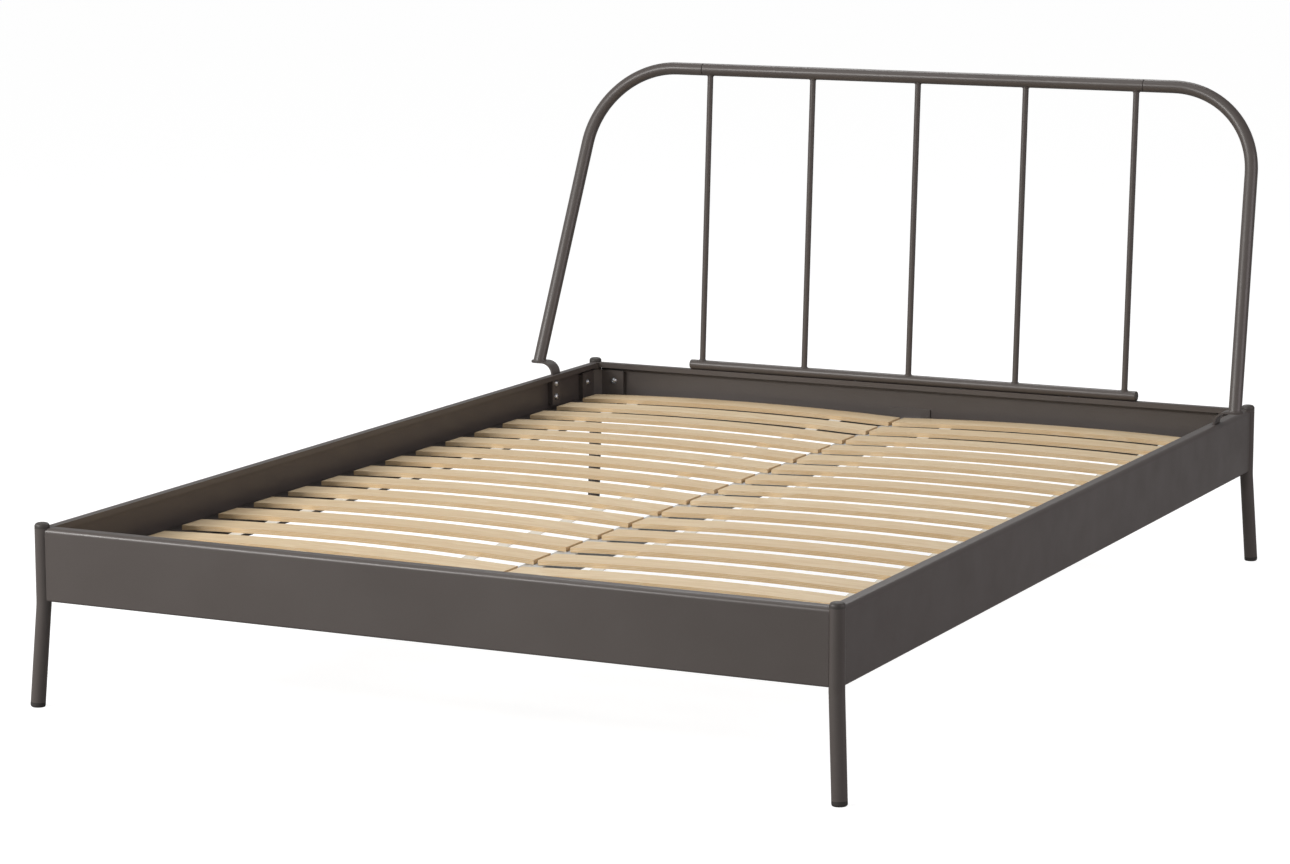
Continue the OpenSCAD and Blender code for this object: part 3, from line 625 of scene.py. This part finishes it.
def spot_weld(at, out):
    """Round dimple with a low rim, as a spot welder's tip leaves it."""
    radius, rise = 3.2 * MM, 0.3 * MM
    profile = [(1.0, 0.0), (0.93, 0.7), (0.84, 1.0), (0.74, 0.75), (0.62, 0.35), (0.0, 0.25)]
    across = out.orthogonal().normalized()
    other = out.cross(across)
    sides = 24
    points, faces = [], []
    for share, height in profile[:-1]:
        for k in range(sides):
            angle = 2 * math.pi * k / sides
            ray = math.cos(angle) * across + math.sin(angle) * other
            points.append(at + share * radius * ray + height * rise * out)
    points.append(at + profile[-1][1] * rise * out)
    for ring in range(len(profile) - 2):
        for k in range(sides):
            here, there, beside = ring * sides, (ring + 1) * sides, (k + 1) % sides
            faces.append((here + k, here + beside, there + beside, there + k))
    last = (len(profile) - 2) * sides
    faces += [(last + k, last + (k + 1) % sides, len(points) - 1) for k in range(sides)]
    return points, faces


SHEET_T = 2 * MM
HANGER_T = 3 * MM
SPOTS_PER_LEDGE = 13


def spot_welds():
    """Rows of dimples that hold the ledges and the hangers to the rails' sheet."""
    skins = []
    spread = 0.86
    for side, sign in (("left", -1), ("right", 1)):
        low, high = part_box(f"slat_ledge_{side}")
        face = sign * (max(abs(low.x), abs(high.x)) - SHEET_T)
        z = low.z + 0.45 * (high.z - low.z)
        for k in range(SPOTS_PER_LEDGE):
            y = (k / (SPOTS_PER_LEDGE - 1) - 0.5) * spread * (high.y - low.y)
            skins.append(spot_weld(Vector((face, y, z)), Vector((-sign, 0, 0))))
    for end, sign in (("foot", -1), ("head", 1)):
        low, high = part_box(f"mid_beam_hanger_{end}")
        face = sign * (max(abs(low.y), abs(high.y)) - HANGER_T)
        for x in (spread * low.x, spread * high.x):
            for share in (0.25, 0.8):
                z = low.z + share * (high.z - low.z)
                skins.append(spot_weld(Vector((x, face, z)), Vector((0, -sign, 0))))
    add_piece("spot_welds", joined(skins), "frame_paint")


RIBBON_T = 0.9 * MM
RIBBON_SAG = 2.6 * MM
FOLD_R = 0.75 * RIBBON_T
HEM = 26 * MM


def ribbon_fold(slats, end):
    """Hem folded back under the last slat at the foot (-1) or the head (1), from its free edge."""
    steps = 6
    edge = slats.rows[0 if end < 0 else -1] + end * (slats.half_w - FOLD_R)
    fold = [(edge - end * HEM * (1 - i / 3), 2 * FOLD_R) for i in range(4)]
    for i in range(1, steps):
        angle = math.pi * i / steps
        fold.append((edge + end * FOLD_R * math.sin(angle), FOLD_R * (1 + math.cos(angle))))
    return fold + [(edge, 0.0)]


def ribbon_route(slats):
    """Places along a ribbon, as (y, depth under the slats' lower face)."""
    gap_steps, slat_steps = 12, 4
    route = ribbon_fold(slats, -1)
    final = len(slats.rows) - 1
    for number, row in enumerate(slats.rows):
        if number > 0:
            start, stop = slats.rows[number - 1] + slats.half_w, row - slats.half_w
            slack = RIBBON_SAG * (0.75 + 0.25 * math.sin(2.1 * number))
            for i in range(1, gap_steps):
                t = i / gap_steps
                route.append((start + t * (stop - start), slack * math.sin(math.pi * t) ** 2))
        first = -slats.half_w * 0.98 if number > 0 else -slats.half_w + 2 * FOLD_R
        last = slats.half_w * 0.98 if number < final else slats.half_w - 2 * FOLD_R
        for i in range(slat_steps + 1):
            route.append((row + first + (last - first) * i / slat_steps, 0.0))
    return route + ribbon_fold(slats, 1)[::-1]


def ribbon_section(half_w):
    """Flat section with thicker selvedges, as (distance from the middle, height) round the edge."""
    selvedge = 1.1 * MM
    top = [(-half_w + selvedge * k, 0.0) for k in (0.35, 1.0)]
    top += [(half_w * k / 4, -0.08 * MM) for k in range(-3, 4)]
    top += [(half_w - selvedge * k, 0.0) for k in (1.0, 0.35)]
    edge = [(half_w, -0.5 * RIBBON_T)]
    under = [(x, -RIBBON_T - z * 0.6) for x, z in reversed(top)]
    return top + edge + under + [(-half_w, -0.5 * RIBBON_T)]


def ribbon_skin(slats, route, half_w, side, x):
    """Skin of one ribbon, whose middle lies at a distance x from the bed's middle."""
    section = ribbon_section(half_w)
    count = len(section)
    slope = side * (slats.height(x + half_w) - slats.height(x - half_w)) / (2 * half_w)
    points, faces = [], []
    for i, (y, depth) in enumerate(route):
        before, after = route[max(i - 1, 0)], route[min(i + 1, len(route) - 1)]
        along = Vector((0, after[0] - before[0], before[1] - after[1])).normalized()
        up = Vector((1, 0, 0)).cross(along)
        drift = 0.5 * MM * math.sin(3.1 * y + 5 * x) + 0.2 * MM * math.sin(17 * y)
        middle = Vector((side * (x + drift), y, slats.height(x) - depth))
        for across, height in section:
            points.append(middle + Vector((across, 0, slope * across)) + height * up)
    for i in range(len(route) - 1):
        for k in range(count):
            here, there, beside = i * count, (i + 1) * count, (k + 1) % count
            faces.append((here + k, here + beside, there + beside, there + k))
    faces.append(tuple(range(count)))
    faces.append(tuple(range((len(route) - 1) * count, len(route) * count)))
    return points, faces


def slat_ribbons():
    """Four woven ribbons that hold the slats at their spacing, folded back under the last slats."""
    slats = SlatUnderside()
    points = [v.co for v in NODES["slat_ribbons"].data.vertices]
    outer = max(p.x for p in points)
    inner = min(abs(p.x) for p in points)
    half_w = (outer - min(p.x for p in points if p.x > slats.middle)) / 2
    route = ribbon_route(slats)
    for side_name, side in (("left", -1), ("right", 1)):
        for place, x in (("inner", inner + half_w), ("outer", outer - half_w)):
            skin = ribbon_skin(slats, route, half_w, side, x)
            ribbon = add_piece(f"slat_ribbon_{side_name}_{place}", skin, "ribbon")
            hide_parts("slat_ribbons")
            staples(f"staples_{side_name}_{place}", slats, side, x)


def staples(name, slats, side, x):
    """A staple through the ribbon into each slat, set a little crooked."""
    half, wire, legs = 5.5 * MM, 0.55 * MM, 2.0 * MM
    half_shape = [(1.0, legs), (1.0, 0.45 * wire), (0.97, 0.12 * wire), (0.9, 0.0), (0.5, 0.0)]
    shape = [(-t, rise) for t, rise in half_shape] + [(0.0, 0.0)] + half_shape[::-1]
    skins = []
    for number, row in enumerate(slats.rows):
        hem = number in (0, len(slats.rows) - 1)
        tilt = 0.10 * math.sin(5.3 * number + 9 * x + side)
        level = slats.height(x) - (2.5 if hem else 1.0) * RIBBON_T - 0.6 * wire
        middle = Vector((side * x, row + 2 * MM * math.sin(2.9 * number + side), level))
        path = [middle + Vector((half * t * math.cos(tilt), half * t * math.sin(tilt), rise))
                for t, rise in shape]
        skins.append(sweep(path, lambda i: wire, Vector((0, 1, 0)), False, 8))
    add_piece(name, joined(skins), "zinc")


add_camera()
add_world()
add_floor()
for light in LIGHTS:
    add_area_light(*light)
MATERIALS = finish_nodes()
spindle_welds()
hook_welds()
corner_welds()
spot_welds()
slat_ribbons()

bpy.context.scene.view_settings.view_transform = "Standard"
